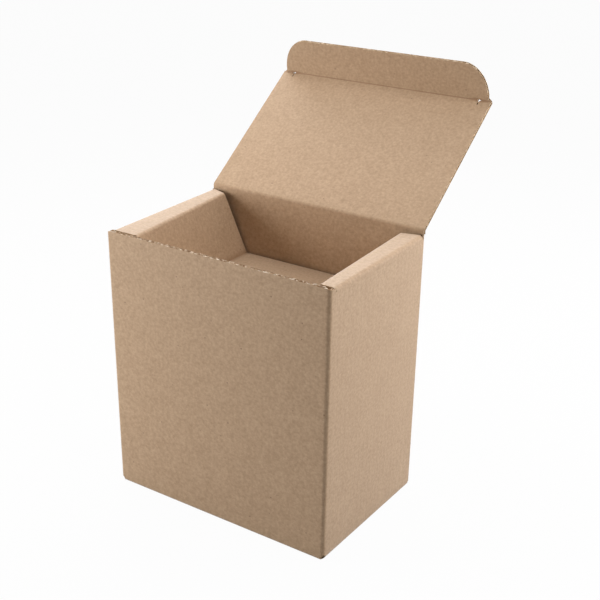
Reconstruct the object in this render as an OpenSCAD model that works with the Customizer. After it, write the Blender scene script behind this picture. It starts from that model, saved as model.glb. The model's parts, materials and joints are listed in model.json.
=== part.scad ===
// Corrugated mailer box, die-cut and folded from one sheet of E-flute board.
// Millimetres, Z up. The origin is the middle of the base, the front is towards -Y.
// The box stands open: its lid leans back on the crease along the top of the back wall,
// and the tuck flap at the lid's free end is folded inwards.

/* [Board] */
// Thickness of the corrugated board
board_t = 1.6; // [1.2:0.1:2.4]
// Thickness of each flat liner and of the wavy medium between them
liner_t = 0.25; // [0.15:0.05:0.35]
// Distance from one flute to the next
flute_pitch = 3.4; // [2.4:0.1:6]
// Width of the glue line between two flute cells
glue_line = 0.6; // [0.4:0.1:1]
// Length over which the flutes are crushed shut beside a crease
crush_len = 4; // [3:0.5:8]
// Inside radius of a crease
crease_r = 0.3; // [0.2:0.1:0.8]

/* [Box] */
// Outside width, left to right
box_w = 120; // [100:1:200]
// Outside depth, front to back
box_d = 80; // [60:1:140]
// Height of the front wall's cut edge above the base
box_h = 131; // [90:1:220]
// Width of the glue lap inside the back left corner
lap_w = 20; // [12:1:28]
// Distance that the lap's ends are sloped away
lap_slope = 5; // [2:1:10]

/* [Cushion wings] */
// Width of the flat spine on top of each side wall
spine_w = 10; // [7:0.5:16]
// Height of the front wall's cut edge above the spines
rim_step = 0.9; // [0.2:0.1:1.5]
// Depth of the tray, from the spines down to the platform
tray_depth = 28.6; // [24:0.2:40]
// Distance that each sloping panel leans inwards on its way down
slope_run = 11; // [5:1:18]
// Gap between the tucked-in flap and the wings' front edges
tuck_clear = 0.5; // [0.5:0.1:2]
// Gap between the wings and the back wall
wing_gap = 1; // [0.5:0.1:2]
// Gap between a platform's free end and the opposite sloping panel
end_gap = 0.8; // [0.5:0.1:3]
// Gap between the upper and the lower platform
layer_gap = 0.2; // [0.1:0.1:0.6]

/* [Lid] */
// Angle of the open lid above the horizontal
lid_angle = 36.7; // [0:0.1:90]
// Distance from the lid's edge to the box's side, at each side
lid_inset = 0.2; // [0:0.1:1]
// Gap between the closed lid and the front wall's cut edge
lid_gap = 0.2; // [0.2:0.1:1]
// Gap between the tuck flap's crease and the front wall when the lid is closed
tuck_gap = 0.4; // [0.3:0.1:1]
// Half of the gap left in a moving crease
crease_gap = 0.2; // [0.1:0.05:0.4]

/* [Tuck flap] */
// Length of the tuck flap
flap_len = 19; // [17:0.5:21]
// Width of each of its two round corners, which are quarter ellipses
flap_corner_w = 13; // [6:0.5:16]
// Length of each corner, down the flap's sides
flap_corner_len = 16; // [6:0.5:16]
// Gap between the flap's sides and the side walls when it is tucked in
flap_gap = 0.4; // [0.3:0.1:2]
// Angle that the flap is folded inwards from the lid as the box stands open
flap_bend = 65; // [0:1:90]
// Largest angle that it is folded to as it slips inside the front wall
flap_bend_max = 100; // [100:1:106]
// Length of the slit at each end of the flap's crease
slit_len = 6.5; // [4:0.5:12]
// Diameter of the hole that ends each slit
slit_hole_d = 1.6; // [1:0.1:3]
// Length of the nick that turns from that hole into the lid
nick_len = 3; // [1:0.5:6]
// Width of the nick
nick_w = 0.5; // [0.3:0.1:1]

/* [Snap-lock bottom] */
// Gap between a bottom flap's edge and the neighbouring wall
notch_gap = 2; // [1.5:0.1:4]
// Distance that the front flap reaches past the middle
front_reach = 3; // [1:0.5:6]
// Length of the front flap's tongue beyond that edge
tongue_len = 24; // [20:1:28]
// Width of the tongue
tongue_w = 50; // [30:1:60]
// Distance that the back flap's two legs reach past the middle
leg_reach = 12; // [4:1:18]
// Width of a side flap's free end
side_flap_end = 34; // [24:1:44]
// Gap between the tongue and the flaps on each side of it
tongue_gap = 2; // [1:0.5:4]
// Length over which an inner flap climbs onto the one under it
climb_len = 9; // [7:1:14]

/* [Hidden] */

kraft = "#bd9c7c";
bend_steps = 6;
arch_steps = 4;
past = 1;
$fn = 32;

half_t = board_t / 2;
fold_r = crease_r + board_t;
inner_w = box_w - 2 * board_t;
inner_d = box_d - 2 * board_t;

hinge_y = box_d / 2;
hinge_z = box_h + lid_gap + board_t;
hinge_half = box_w / 2 - fold_r;
lid_w = box_w - 2 * lid_inset;
lid_len = box_d - board_t - tuck_gap;
flap_w = inner_w - 2 * flap_gap;
flap_lean = flap_bend_max - 90;
slit_x = lid_w / 2 - slit_len;

spine_z = box_h - rim_step;
platform_z = spine_z - tray_depth;
wing_front = slot_edge(spine_z - board_t);
wing_back = box_d / 2 - board_t - wing_gap;

// Nearest that a wing may come to the front wall at height z, clear of the tucked-in flap
function slot_edge(z) =
    hinge_y - lid_len + board_t / cos(flap_lean) + (hinge_z - z) * tan(flap_lean) + tuck_clear;

// Sheet geometry: a folded panel is the path of the board's mid-line, with a round bend at each crease

function unit(v) = v / norm(v);

function left_of(v) = [-v[1], v[0]];

function turned(v, angle) = [
    v[0] * cos(angle) - v[1] * sin(angle),
    v[0] * sin(angle) + v[1] * cos(angle)
];

function reversed(points) = [for (i = [len(points) - 1 : -1 : 0]) points[i]];

function bend_points(before, corner, after, offset) =
    let (
        a = unit(corner - before),
        b = unit(after - corner),
        turn = atan2(a[0] * b[1] - a[1] * b[0], a * b),
        side = sign(turn),
        mid_r = crease_r + half_t,
        centre = corner - a * mid_r * tan(abs(turn) / 2) + left_of(a) * side * mid_r,
        spoke = -left_of(a) * side * (mid_r - side * offset)
    )
    [for (k = [0 : bend_steps]) centre + turned(spoke, turn * k / bend_steps)];

function sheet_face(path, offset) =
    let (last = len(path) - 1)
    concat(
        [path[0] + left_of(unit(path[1] - path[0])) * offset],
        [for (i = [1 : last - 1]) each bend_points(path[i - 1], path[i], path[i + 1], offset)],
        [path[last] + left_of(unit(path[last] - path[last - 1])) * offset]
    );

module sheet(path) {
    polygon(concat(sheet_face(path, half_t), reversed(sheet_face(path, -half_t))));
}

// Stands a profile drawn in Y and Z on its edge, from x0 to x1
module across(x0, x1) {
    translate([x0, 0, 0])
        rotate([90, 0, 90])
            linear_extrude(height = x1 - x0)
                children();
}

// Stands a profile drawn in X and Z on its edge, from y0 to y1
module along(y0, y1) {
    translate([0, y1, 0])
        rotate([90, 0, 0])
            linear_extrude(height = y1 - y0)
                children();
}

// Corrugation: the arched cells between the medium and one liner, seen along the flutes

module flute_cell() {
    half_cell = (flute_pitch - glue_line) / 2;
    floor_y = liner_t - half_t;
    rise = board_t - 3 * liner_t;
    polygon([
        for (k = [0 : arch_steps])
            let (across_cell = 2 * k / arch_steps - 1)
            [half_cell * across_cell, floor_y + rise * (1 + cos(180 * across_cell)) / 2]
    ]);
}

module flute_row(width) {
    count = floor(width / flute_pitch - 0.5);
    for (i = [0 : count - 1]) {
        translate([(i - count / 2 + 0.25) * flute_pitch, 0])
            flute_cell();
        translate([(i - count / 2 + 0.75) * flute_pitch, 0])
            mirror([0, 1])
                flute_cell();
    }
}

// Tube of four walls, with the glue lap that closes it at the back left corner

module wall_tube() {
    side_x = box_w / 2 - half_t;
    end_y = box_d / 2 - half_t;
    translate([0, 0, fold_r])
        linear_extrude(height = box_h - fold_r)
            sheet([
                [-side_x, box_d / 2 - crease_r],
                [-side_x, -end_y],
                [side_x, -end_y],
                [side_x, end_y],
                [0, end_y]
            ]);
    translate([0, 0, fold_r])
        linear_extrude(height = box_h - fold_r)
            sheet([
                [past, end_y],
                [board_t - side_x, end_y],
                [board_t - side_x, end_y - fold_r]
            ]);
}

module glue_lap() {
    lap_x = board_t - box_w / 2;
    lap_back = box_d / 2 - half_t - fold_r + past;
    lap_front = lap_back - lap_w;
    lap_low = fold_r + crush_len;
    lap_high = spine_z - fold_r - past;
    across(lap_x, lap_x + board_t)
        polygon([
            [lap_back, lap_low],
            [lap_back, lap_high],
            [lap_front, lap_high - lap_slope],
            [lap_front, lap_low + lap_slope]
        ]);
}

// Top of each side wall, cut away where the wing folds over it
module wing_slots() {
    for (side = [-1, 1])
        translate([side * box_w / 2, (wing_front + wing_back) / 2, box_h])
            cube(
                [2 * (board_t + crease_r), wing_back - wing_front + 2 * crease_gap, 2 * (rim_step + fold_r)],
                center = true
            );
}

// Cushion wing: spine over the side wall, sloping panel, and platform right across the box
module cushion_wing(drop) {
    wall_x = box_w / 2 - half_t;
    spine_mid = spine_z - half_t;
    platform_mid = platform_z - half_t;
    top_x = box_w / 2 - spine_w;
    lean = slope_run / tray_depth;
    low_x = top_x - slope_run - lean * drop;
    free_x = end_gap - top_x + slope_run + half_t;
    difference() {
        along(wing_front, wing_back)
            sheet([
                [wall_x, platform_mid],
                [wall_x, spine_mid],
                [top_x, spine_mid],
                [low_x, platform_mid - drop],
                [free_x, platform_mid - drop]
            ]);
        across(-top_x, top_x)
            polygon([
                [wing_front - past, spine_z - board_t],
                [wing_front, spine_z - board_t],
                [slot_edge(platform_z + crease_r), platform_z + crease_r],
                [wing_front - past, platform_z + crease_r]
            ]);
        translate([free_x - past, (wing_front + wing_back) / 2, platform_mid - drop])
            rotate([90, 0, 90])
                linear_extrude(height = low_x - free_x - crush_len + past)
                    flute_row(wing_back - wing_front);
    }
}

// Snap-lock bottom: the back flap is folded first, then the side flaps, then the front flap

module bottom_side_flap() {
    wall_x = box_w / 2 - half_t;
    level = 3 * half_t + layer_gap;
    flap_half = inner_d / 2 - notch_gap;
    free_x = tongue_w / 2 + tongue_gap;
    intersection() {
        along(-flap_half, flap_half)
            sheet([
                [wall_x, 2 * fold_r],
                [wall_x, half_t],
                [wall_x - fold_r, half_t],
                [wall_x - fold_r - climb_len, level],
                [free_x, level]
            ]);
        linear_extrude(height = 2 * fold_r)
            polygon([
                [box_w / 2 + past, -flap_half],
                [box_w / 2 + past, flap_half],
                [wall_x - climb_len, flap_half],
                [free_x, side_flap_end - flap_half],
                [free_x, -flap_half]
            ]);
    }
}

module bottom_back_flap() {
    wall_y = box_d / 2 - half_t;
    level = 5 * half_t + 2 * layer_gap;
    flap_half = inner_w / 2 - notch_gap;
    notch_half = tongue_w / 2 + tongue_gap;
    notch_y = front_reach + climb_len + tongue_gap;
    difference() {
        across(-flap_half, flap_half)
            sheet([
                [wall_y, 3 * fold_r],
                [wall_y, half_t],
                [wall_y - fold_r, half_t],
                [wall_y - fold_r - climb_len, level],
                [-leg_reach, level]
            ]);
        translate([-notch_half, -leg_reach - past, 0])
            cube([2 * notch_half, leg_reach + past + notch_y, box_h / 2]);
    }
}

module bottom_front_flap() {
    wall_y = half_t - box_d / 2;
    level = 7 * half_t + 3 * layer_gap;
    flap_half = inner_w / 2 - notch_gap;
    across(-flap_half, flap_half)
        sheet([
            [wall_y, 2 * fold_r],
            [wall_y, half_t],
            [front_reach, half_t]
        ]);
    across(-tongue_w / 2, tongue_w / 2)
        sheet([
            [wall_y / 2, half_t],
            [front_reach, half_t],
            [front_reach + climb_len, level],
            [front_reach + tongue_len, level]
        ]);
}

// The bottom creases run on past their flaps, almost to the corners of the box
module bottom_crease(wall, half_width) {
    across(-half_width, half_width)
        sheet([
            [-wall, 2 * fold_r],
            [-wall, half_t],
            [crease_r + half_t + layer_gap / 2 - wall, half_t]
        ]);
}

module bottom_creases() {
    end_x = hinge_half - layer_gap;
    end_y = box_d / 2 - fold_r - layer_gap;
    for (turn = [0, 180])
        rotate([0, 0, turn]) {
            bottom_crease(box_d / 2 - half_t, end_x);
            rotate([0, 0, 90])
                bottom_crease(box_w / 2 - half_t, end_y);
        }
}

// Back wall's top edge, bevelled so that the lid can close down over it
module hinge_edge() {
    across(-hinge_half, hinge_half)
        polygon([
            [hinge_y - board_t, box_h - past],
            [hinge_y, box_h - past],
            [hinge_y, hinge_z - crease_gap],
            [hinge_y - board_t, hinge_z - crease_gap - board_t]
        ]);
}

module front_wall_flutes() {
    translate([0, half_t - box_d / 2, fold_r + crush_len])
        linear_extrude(height = box_h)
            flute_row(inner_w - 2 * crease_r);
}

module box_body() {
    color(kraft)
        difference() {
            union() {
                difference() {
                    wall_tube();
                    wing_slots();
                }
                glue_lap();
                hinge_edge();
                mirror([1, 0, 0])
                    cushion_wing(0);
                cushion_wing(board_t + layer_gap);
                bottom_creases();
                bottom_front_flap();
                bottom_back_flap();
                bottom_side_flap();
                mirror([1, 0, 0])
                    bottom_side_flap();
            }
            front_wall_flutes();
        }
}

// Lid and tuck flap are drawn flat, each with its crease along the X axis and its inside upwards

module crease_holes() {
    for (side = [-1, 1])
        translate([side * slit_x, 0, 0])
            cylinder(d = slit_hole_d, h = 3 * board_t, center = true);
}

module lid_flat() {
    mitre = board_t * tan(flap_bend_max / 2);
    difference() {
        across(-lid_w / 2, lid_w / 2)
            polygon([
                [crease_gap, 0],
                [crease_gap + board_t, board_t],
                [lid_len - crease_gap - mitre, board_t],
                [lid_len - crease_gap, 0]
            ]);
        translate([0, lid_len, 0])
            crease_holes();
        for (side = [-1, 1])
            translate([side * slit_x - nick_w / 2, lid_len - slit_hole_d / 2 - nick_len, -past])
                cube([nick_w, nick_len + slit_hole_d / 2, board_t + 2 * past]);
    }
}

module flap_outline() {
    corner_x = flap_w / 2 - flap_corner_w;
    corner_y = flap_len - flap_corner_len;
    polygon(concat(
        [[-flap_w / 2, 0], [flap_w / 2, 0]],
        [for (k = [0 : $fn / 2])
            let (q = 180 * k / $fn)
            [corner_x + flap_corner_w * cos(q), corner_y + flap_corner_len * sin(q)]],
        [for (k = [$fn / 2 : $fn])
            let (q = 180 * k / $fn)
            [-corner_x + flap_corner_w * cos(q), corner_y + flap_corner_len * sin(q)]]
    ));
}

module flap_flat() {
    mitre = board_t * tan(flap_bend_max / 2);
    difference() {
        intersection() {
            linear_extrude(height = board_t)
                flap_outline();
            across(-flap_w / 2, flap_w / 2)
                polygon([
                    [crease_gap, 0],
                    [crease_gap + mitre, board_t],
                    [flap_len, board_t],
                    [flap_len, 0]
                ]);
        }
        crease_holes();
        translate([0, flap_len + past, half_t])
            rotate([90, 0, 0])
                linear_extrude(height = flap_len + past - crease_gap - mitre - crush_len)
                    flute_row(flap_w);
    }
}

module lid_place() {
    translate([0, hinge_y, hinge_z])
        rotate([lid_angle, 0, 0])
            children();
}

module lid() {
    color(kraft)
        lid_place()
            lid_flat();
}

module tuck_flap() {
    color(kraft)
        lid_place()
            translate([0, lid_len, 0])
                rotate([flap_bend, 0, 0])
                    flap_flat();
}

box_body();
lid();
tuck_flap();
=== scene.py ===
# Corrugated mailer box: one folded sheet of kraft E-flute board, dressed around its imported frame.
# The board is built here as a real sheet: two liners, the wavy medium between them, and edges that show it.
import json
import math
from functools import partial

import bmesh
import bpy
import numpy as np
from mathutils import Matrix, Vector


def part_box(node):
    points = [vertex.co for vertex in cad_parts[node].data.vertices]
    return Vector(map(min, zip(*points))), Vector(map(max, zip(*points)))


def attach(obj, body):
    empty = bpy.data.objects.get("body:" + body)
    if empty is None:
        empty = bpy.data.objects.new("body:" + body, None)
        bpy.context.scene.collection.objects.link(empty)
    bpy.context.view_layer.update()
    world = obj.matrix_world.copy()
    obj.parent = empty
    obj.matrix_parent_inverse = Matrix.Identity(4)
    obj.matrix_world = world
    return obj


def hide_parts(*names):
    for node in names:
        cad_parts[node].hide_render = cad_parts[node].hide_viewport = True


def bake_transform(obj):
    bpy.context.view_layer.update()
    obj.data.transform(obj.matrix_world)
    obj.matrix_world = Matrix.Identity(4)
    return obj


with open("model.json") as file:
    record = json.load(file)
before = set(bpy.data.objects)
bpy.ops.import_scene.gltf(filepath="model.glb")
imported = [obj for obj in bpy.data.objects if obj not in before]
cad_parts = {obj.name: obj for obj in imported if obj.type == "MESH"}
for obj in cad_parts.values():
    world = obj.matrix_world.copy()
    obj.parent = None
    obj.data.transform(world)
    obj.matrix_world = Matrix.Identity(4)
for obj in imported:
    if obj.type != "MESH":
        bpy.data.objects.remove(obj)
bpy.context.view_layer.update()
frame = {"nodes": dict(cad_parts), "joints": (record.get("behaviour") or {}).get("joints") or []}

mm = 0.001
print("frame loaded:", sorted(frame["nodes"]))


# Sizes that every panel shares, in mm. What the frame knows is read from it.
board = {
    "thickness": 1.6,
    "liner": 0.25,
    "pitch": 3.4,
    "creaseRadius": 0.3,   # inside radius of a pressed crease
    "bendSteps": 8,
    "edgeRound": 0.12,     # the knife leaves the liners' edges a little rounded
    "deepCut": 4.0,        # how far one sees into the flutes where the cut runs across them
    "shallowCut": 0.35,    # and where the cut runs along them
    "spacing": 2.5,        # size of the mesh's cells on flat panels
    "sharpAngle": 38.0,    # degrees
}
touch = 0.01                # points closer than this, in mm, are taken for one
half = board["thickness"] / 2
midRadius = board["creaseRadius"] + half
foldRadius = board["creaseRadius"] + board["thickness"]

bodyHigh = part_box("box_body")[1] / mm
joints = {joint["name"]: joint for joint in frame["joints"]}
lidAxis = np.array(joints["lid_crease"]["pos_m"]) / mm
flapAxis = np.array(joints["tuck_flap_crease"]["pos_m"]) / mm    # also the line of the flap's crease
lidRun = flapAxis - lidAxis
lidLength = float(np.linalg.norm(lidRun))
lidAlong = lidRun / lidLength                                  # from the hinge to the tuck flap
lidInward = np.array([0.0, -lidAlong[2], lidAlong[1]])         # out of the lid's inner face
halfWidth = float(bodyHigh.x)
halfDepth = float(bodyHigh.y)


# Plane geometry

def unit(vector):
    return vector / np.linalg.norm(vector)


def leftOf(vector):
    return np.array([-vector[1], vector[0]])


def turned(vector, angle):
    c, s = math.cos(angle), math.sin(angle)
    return np.array([vector[0] * c - vector[1] * s, vector[0] * s + vector[1] * c])


def spaced(stops, spacing):
    # the stops in order, with evenly spaced values between them
    stops = sorted(set(round(float(s), 4) for s in stops))
    values = [stops[0]]
    for low, high in zip(stops, stops[1:]):
        count = max(1, round((high - low) / spacing))
        values += [low + (high - low) * k / count for k in range(1, count + 1)]
    return np.array(values)


def foldedPath(corners, parts):
    # mid-line of a folded strip: straight parts joined by round bends
    # returns its points, their left normals, and the first and last row of each part
    corners = [np.array(corner, float) for corner in corners]
    runs = [unit(b - a) for a, b in zip(corners, corners[1:])]
    turns = [math.atan2(a[0] * b[1] - a[1] * b[0], float(a @ b)) for a, b in zip(runs, runs[1:])]
    trims = [0.0] + [midRadius * math.tan(abs(turn) / 2) for turn in turns] + [0.0]
    points, normals, marks = [], [], []
    for k, fractions in enumerate(parts):
        start = corners[k] + runs[k] * trims[k]
        end = corners[k + 1] - runs[k] * trims[k + 1]
        normal = leftOf(runs[k])
        marks.append((len(points), len(points) + len(fractions) - 1))
        points += [start + (end - start) * f for f in fractions]
        normals += [normal] * len(fractions)
        if k < len(turns):
            side = math.copysign(1.0, turns[k])
            centre = end + normal * side * midRadius
            for step in range(1, board["bendSteps"]):
                angle = turns[k] * step / board["bendSteps"]
                points.append(centre - turned(normal, angle) * side * midRadius)
                normals.append(turned(normal, angle))
    return np.array(points), np.array(normals), marks


def upright(profile, axis, side):
    # a profile's pairs, across and up, as points or normals in the box
    placed = np.zeros((len(profile), 3))
    placed[:, axis] = side * profile[:, 0]
    placed[:, 2] = profile[:, 1]
    return placed


def runLength(points):
    return np.concatenate([[0.0], np.cumsum(np.linalg.norm(np.diff(points, axis=0), axis=1))])


# A sheet is collected as one mid-surface, and then given its two liners and its cut edges

def newSheet():
    return {
        "points": [], "normals": [], "board": [], "faces": [], "keys": {}, "joined": set(),
        # a share of 1 gives a bend's inner side its full crushed darkening and painted shade
        "shallow": set(), "crushAndShade": 1.0,
    }


def markWhere(sheet, mark, test):
    # joined: the sheet goes on in the next piece, so no cut edge is made; shallow: no room for a deep groove
    sheet[mark] |= {k for k, point in enumerate(sheet["points"]) if test(point)}


def addPatch(sheet, points, normals, across, along, keep=True):
    # a grid of points; its normals and places on the board may be given once for a row, a column or all of it
    rows, columns = points.shape[:2]
    normals = np.broadcast_to(normals, points.shape)
    across = np.broadcast_to(across, (rows, columns))
    along = np.broadcast_to(along, (rows, columns))
    keep = np.broadcast_to(keep, (rows - 1, columns - 1))
    ids = {}

    def vertex(r, c):
        if (r, c) not in ids:
            key = tuple(np.round(points[r, c], 3))
            if key not in sheet["keys"]:
                sheet["keys"][key] = len(sheet["points"])
                sheet["points"].append(points[r, c])
                sheet["normals"].append(normals[r, c])
                sheet["board"].append((across[r, c], along[r, c]))
            ids[(r, c)] = sheet["keys"][key]
        return ids[(r, c)]

    for r in range(rows - 1):
        for c in range(columns - 1):
            if keep[r, c]:
                face = [vertex(r, c), vertex(r, c + 1), vertex(r + 1, c + 1), vertex(r + 1, c)]
                sheet["faces"].append(face)


def cutEdges(sheet):
    # directed edges that only one face has
    directed = set()
    for face in sheet["faces"]:
        for a, b in zip(face, face[1:] + face[:1]):
            directed.add((a, b))
    return [(a, b) for a, b in directed if (b, a) not in directed]


def cutDirections(points, normals, boardAt, a, b):
    # straight into the board, along the flutes into the board, and how far the cut runs across them
    run = points[b] - points[a]
    size = np.linalg.norm(run) + 1e-9
    run = run / size
    into = np.cross(-(normals[a] + normals[b]) / 2, run)
    across, along = (boardAt[b] - boardAt[a]) / size
    flute = unit(into * abs(across) + run * along * np.sign(across) + into * 1e-6)
    return into, flute, min(1.0, abs(across))


def foldSign(sheet):
    # 0 on flat board, 1 where a bend's inner liner is stretched and -1 where it is pressed together
    points = np.array(sheet["points"])
    normals = np.array(sheet["normals"])
    fold = np.zeros(len(normals))
    for face in sheet["faces"]:
        for a, b in zip(face, face[1:] + face[:1]):
            if normals[a] @ normals[b] < 0.9994:       # they turn by 2 degrees or more
                fold[a] = fold[b] = np.sign((normals[b] - normals[a]) @ (points[b] - points[a]))
    return fold


def thickened(sheet):
    # outer and inner liner, joined round every cut edge by a groove that the medium shows in
    points = np.array(sheet["points"])
    normals = np.array(sheet["normals"])       # these point to the box's inside
    boardAt = np.array(sheet["board"])
    rim = sorted(cutEdges(sheet))
    edges = [edge for edge in rim if not sheet["joined"].issuperset(edge)]
    caps = [edge for edge in rim if sheet["joined"].issuperset(edge)]
    inward = np.zeros_like(points)
    depth = np.full(len(points), np.inf)
    smooth = np.zeros(len(points))             # 1 where the cut runs along the flutes and tears less
    for a, b in edges:
        into, flute, share = cutDirections(points, normals, boardAt, a, b)
        smooth[[a, b]] = np.maximum(smooth[[a, b]], 1 - share)
        if a in sheet["shallow"] or b in sheet["shallow"]:
            share = 0.0
        opened = share ** 4                    # only a cut nearly square to the flutes looks into them
        deep = board["shallowCut"] + (board["deepCut"] - board["shallowCut"]) * opened
        for v in (a, b):
            inward[v] += into * (1 - opened) + flute * opened
            depth[v] = min(depth[v], deep)
    onEdge = np.linalg.norm(inward, axis=1) > 1e-6
    inward[onEdge] /= np.linalg.norm(inward[onEdge], axis=1)[:, None]
    depth[~onEdge] = 0
    roundOff = board["edgeRound"]
    skin = half - board["liner"]
    setBack = inward * (roundOff * onEdge)[:, None]
    vertices = [points - normals * half + setBack, points + normals * half + setBack]
    levels = [                                 # offset from the middle, and share of the groove's depth
        (-(half - roundOff), 0.0), (-skin, 0.0), (-skin, 1.0),
        (skin, 1.0), (skin, 0.0), (half - roundOff, 0.0),
    ]
    count = len(points)
    rimIds = np.flatnonzero(onEdge)
    place = {int(v): k for k, v in enumerate(rimIds)}
    for offset, sunk in levels:
        sink = inward[rimIds] * (depth[rimIds] * sunk)[:, None]
        vertices.append(points[rimIds] + normals[rimIds] * offset + sink)
    faces = [list(face) for face in sheet["faces"]]
    faces += [[v + count for v in reversed(face)] for face in sheet["faces"]]
    materials = [0] * len(faces)

    def level(v, index):
        if index == 0:
            return v
        if index == len(levels) + 1:
            return v + count
        return 2 * count + (index - 1) * len(rimIds) + place[v]

    for a, b in edges:
        for index in range(len(levels) + 1):
            faces.append([level(b, index), level(a, index), level(a, index + 1), level(b, index + 1)])
            materials.append(1)
    for a, b in caps:
        faces.append([b, a, a + count, b + count])
        materials.append(1)
    for v in sorted({v for edge in caps for v in edge if v in place}):
        faces.append([level(v, index) for index in range(len(levels) + 2)])
        materials.append(1)
    # the sign, weighted per sheet, drives the painted shade and crushed darkening on a bend's inner liner
    fold = foldSign(sheet) * sheet["crushAndShade"]
    boards = [np.column_stack([boardAt, -fold]), np.column_stack([boardAt, fold])]
    boards += [np.column_stack([boardAt[rimIds], smooth[rimIds]])] * len(levels)
    return np.concatenate(vertices), faces, materials, np.concatenate(boards)


def sheetPiece(name, sheet, finishes):
    # finishes are the liner's and the cut edge's
    # the attribute "board" is the place on the flat board, and how a bend strains the liner there (the
    # liner's finish paints
    # the pressed side darker: crushed fibres and painted shade), or on an edge how far the cut runs along the
    # flutes
    vertices, faces, materials, boards = thickened(sheet)
    mesh = bpy.data.meshes.new(name)
    mesh.from_pydata((vertices * mm).tolist(), [], faces)
    for finish in finishes:
        mesh.materials.append(finish)
    mesh.polygons.foreach_set("material_index", materials)
    attribute = mesh.attributes.new("board", "FLOAT_VECTOR", "POINT")
    attribute.data.foreach_set("vector", boards.astype(np.float32).ravel())
    mesh.polygons.foreach_set("use_smooth", [True] * len(faces))
    mesh.set_sharp_from_angle(angle=math.radians(board["sharpAngle"]))
    mesh.validate()
    mesh.update()
    piece = bpy.data.objects.new(name, mesh)
    bpy.context.scene.collection.objects.link(piece)
    return piece


# The box: tube of walls, cushion wings and snap-lock bottom, all one sheet

box = {
    "cutEdge": float(lidAxis[2]) - board["thickness"] - 0.2,   # height of the front wall's cut edge
    "rimStep": 0.9,            # the spines lie this much lower
    "backRise": 1.0,           # and climb towards the lid's crease
    "ragged": 0.12,            # the front wall's cut edge wanders this much
    "frontCornerDrop": 0.9,    # it sinks this much round the front corners
    "backCornerDrop": 0.1,     # and this much round the back ones
    "frontSpineLeft": 13.6,    # width of each spine at its front and back end: the wings were
    "backSpineLeft": 8.9,      # folded by hand, and the creases ran off square
    "frontSpineRight": 7.6,
    "backSpineRight": 10.2,
    "trayDepth": 28.6,         # from the spines down to the upper platform
    "slopeFoot": 39.0,         # from the middle to the foot of the left sloping panel
    "layerGap": 0.2,           # between two layers of board
    "platformEnd": 37.4,       # each platform runs on past the middle by this much
    "wingFront": -35.12,
    "spineFront": -35.6,       # the spines reach closer to the front wall
    "wingBack": 37.4,
    "spineBackOuter": 37.7,    # the spines' back edges are cut askew
    "spineBackInner": 35.4,
    "slit": 0.4,               # between a wing and the wall's corners beside it
    "tuckLean": 10.0,          # lean of the tucked-in flap, which the wings leave room for
    "footTaper": 0.6,          # each side wall stands in by this much at the foot
    "footTaperY": 0.4,         # and the front and back wall by this much
    "footLift": 1.0,           # towards the front, the side walls' feet stand this much off the floor
    "bow": 0.11,               # the walls swell by this much in the middle
}
bottom = {
    "notch": 2.0,              # the flaps stand in from the walls by this much
    "frontReach": 3.0,         # the front flap ends this far past the middle, and
    "tongue": 24.0,            # its tongue goes on from there
    "tongueHalf": 25.0,        # half the tongue's width
    "tongueGap": 2.0,
    "legReach": 12.0,          # the back flap's legs end this far past the middle
    "sideEnd": 34.0,           # width of the side flaps' ends
    "climb": 9.0,              # a flap takes this length to climb onto the ones below it
    "lap": 18.8,               # from the corner's fold to the glue lap's end
    "lapSlope": 5.0,
    "lapTop": 1.0,             # from the glue lap's top to the fold above it
    "lapFoot": 4.0,            # and from the bottom creases to its foot
}
spineTop = box["cutEdge"] - box["rimStep"]
wallX = halfWidth - half
wallY = halfDepth - half
foot = half + midRadius                    # the walls start above the bottom creases
bendStart = spineTop - half - midRadius    # and end below the spines' creases
platformTop = spineTop - box["trayDepth"]
layer = board["thickness"] + box["layerGap"]                       # from one layer of board to the next
sideFlapHalf = halfDepth - board["thickness"] - bottom["notch"]    # half the width of the side bottom flaps
wideFlapHalf = halfWidth - board["thickness"] - bottom["notch"]    # and of the front and back one


def sideShare(x):
    # 1 on the side walls, falling to 0 where their corners' bends end
    return np.clip((abs(x) - wallX + midRadius) / midRadius, 0, 1)


def handFolded(points):
    # the foot stands in a little, and the walls swell where nothing holds them
    # the powers of 8 keep the swell to the walls, and those at the end keep the lift to the front's foot
    points = np.array(points, float)
    out = points.copy()
    height = np.clip(out[:, 2] / box["cutEdge"], 0, 1)
    swell = box["bow"] * np.sin(math.pi * height)
    acrossX = np.clip(out[:, 0] / halfWidth, -1, 1)
    acrossY = np.clip(out[:, 1] / halfDepth, -1, 1)
    out[:, 0] += np.sign(acrossX) * abs(acrossX) ** 8 * swell * np.cos(acrossY * math.pi / 2)
    out[:, 1] += np.sign(acrossY) * abs(acrossY) ** 8 * swell * np.cos(acrossX * math.pi / 2)
    out[:, 0] -= acrossX * box["footTaper"] * (1 - height)
    out[:, 1] -= acrossY * box["footTaperY"] * (1 - height)
    out[:, 2] += box["footLift"] * sideShare(points[:, 0]) * ((1 - acrossY) / 2) ** 1.3 * (1 - height) ** 4
    return out


def fractionsOf(stops, start, end):
    values = spaced(list(stops) + [start, end], board["spacing"])
    return np.sort((values - start) / (end - start))


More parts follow.
